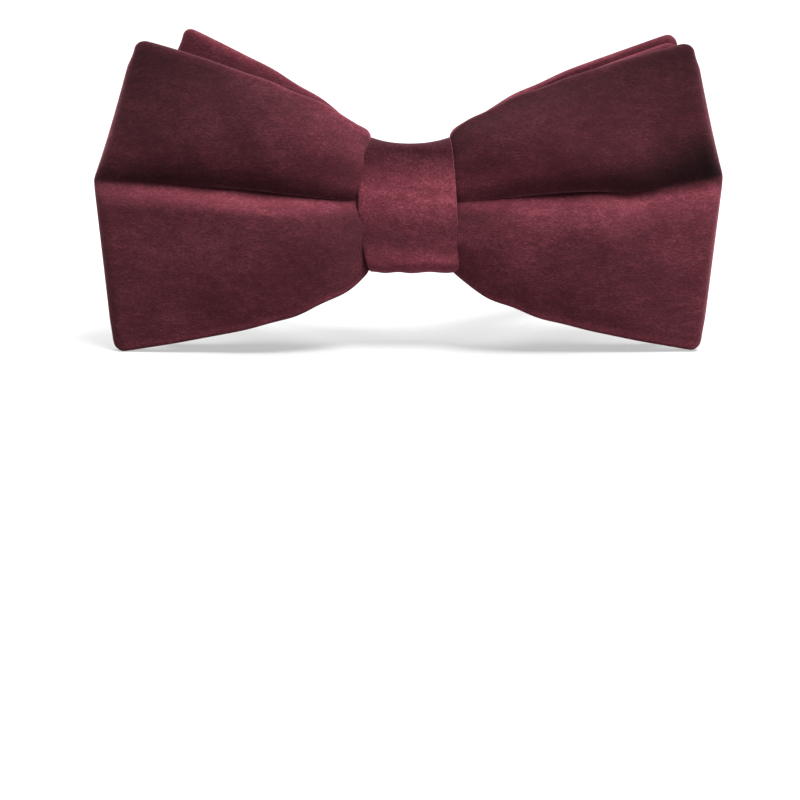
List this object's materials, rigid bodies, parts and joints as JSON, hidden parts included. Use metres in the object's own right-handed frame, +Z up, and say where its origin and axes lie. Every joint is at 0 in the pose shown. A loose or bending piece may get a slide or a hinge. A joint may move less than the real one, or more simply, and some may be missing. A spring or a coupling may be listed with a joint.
{
  "type": "bow tie",
  "caption": "Pre-tied velvet bow tie with two stacked bows, a knot band and an adjustable neck strap that closes with a hook and an eye.",
  "frame": {"origin": "bottom centre of the whole tie, on the surface it stands on", "axes": "+X to the viewer's right along the bow's width, +Y backward from the bow through the neck strap's ring, +Z up"},
  "size_m": [0.12, 0.1424, 0.0614],
  "materials": {
    "velvet": "short-pile burgundy velvet",
    "stiff_lining": "black non-woven stiffener",
    "strap_satin": "burgundy satin strap, soft sheen",
    "thread": "burgundy sewing thread",
    "nickel": "nickel-plated stamped metal"
  },
  "bodies": {
    "bow": {"front_bow": "velvet", "rear_bow": "velvet", "knot_band": "velvet", "front_bow_lining": "stiff_lining", "rear_bow_lining": "stiff_lining", "knot_band_lining": "stiff_lining", "binding_thread": "thread", "knot_seam_thread": "thread", "strap_center": "strap_satin"},
    "left_front": {"strap_left_front": "strap_satin"},
    "left_rear": {"strap_left_rear": "strap_satin", "eye_bartack": "thread"},
    "eye": {"eye": "nickel"},
    "right_front": {"strap_right_front": "strap_satin"},
    "right_rear": {"strap_right_rear": "strap_satin", "hook_bartack": "thread", "strap_return_ply": "strap_satin"},
    "slider": {"slider_frame": "nickel", "slider_fold": "strap_satin", "slider_bartack": "thread"},
    "hook": {"hook": "nickel"}
  },
  "joints": [
    {"name": "left_strap_swing", "type": "hinge", "parent": "bow", "child": "left_front", "pos_m": [-0.0108, -0.0545, 0.0281], "axis": [0, 0.1517, 0.9884], "range_deg": [0, 28]},
    {"name": "left_strap_bend", "type": "hinge", "parent": "left_front", "child": "left_rear", "pos_m": [-0.052, 0.01469, 0.01748], "axis": [0, 0.1517, 0.9884], "range_deg": [0, 40]},
    {"name": "eye_pivot", "type": "hinge", "parent": "left_rear", "child": "eye", "pos_m": [-0.00725, 0.06494, 0.00976], "axis": [0, -0.1517, -0.9884], "range_deg": [0, 75]},
    {"name": "right_strap_swing", "type": "hinge", "parent": "bow", "child": "right_front", "pos_m": [0.0108, -0.0545, 0.0281], "axis": [0, -0.1517, -0.9884], "range_deg": [0, 28]},
    {"name": "right_strap_bend", "type": "hinge", "parent": "right_front", "child": "right_rear", "pos_m": [0.052, 0.01469, 0.01748], "axis": [0, -0.1517, -0.9884], "range_deg": [0, 40]},
    {"name": "slider_travel", "type": "hinge", "parent": "right_rear", "child": "slider", "pos_m": [0, 0.01469, 0.01748], "axis": [0, -0.1517, -0.9884], "range_deg": [0, 48], "deforming": ["strap_return_ply"]},
    {"name": "hook_pivot", "type": "hinge", "parent": "right_rear", "child": "hook", "pos_m": [0.00725, 0.06494, 0.00976], "axis": [0, -0.1517, -0.9884], "range_deg": [-42, 65]}
  ],
  "couplings": [
    {"joint": "left_strap_bend", "follows": "left_strap_swing", "ratio": 1.35},
    {"joint": "right_strap_bend", "follows": "right_strap_swing", "ratio": 1.35}
  ]
}
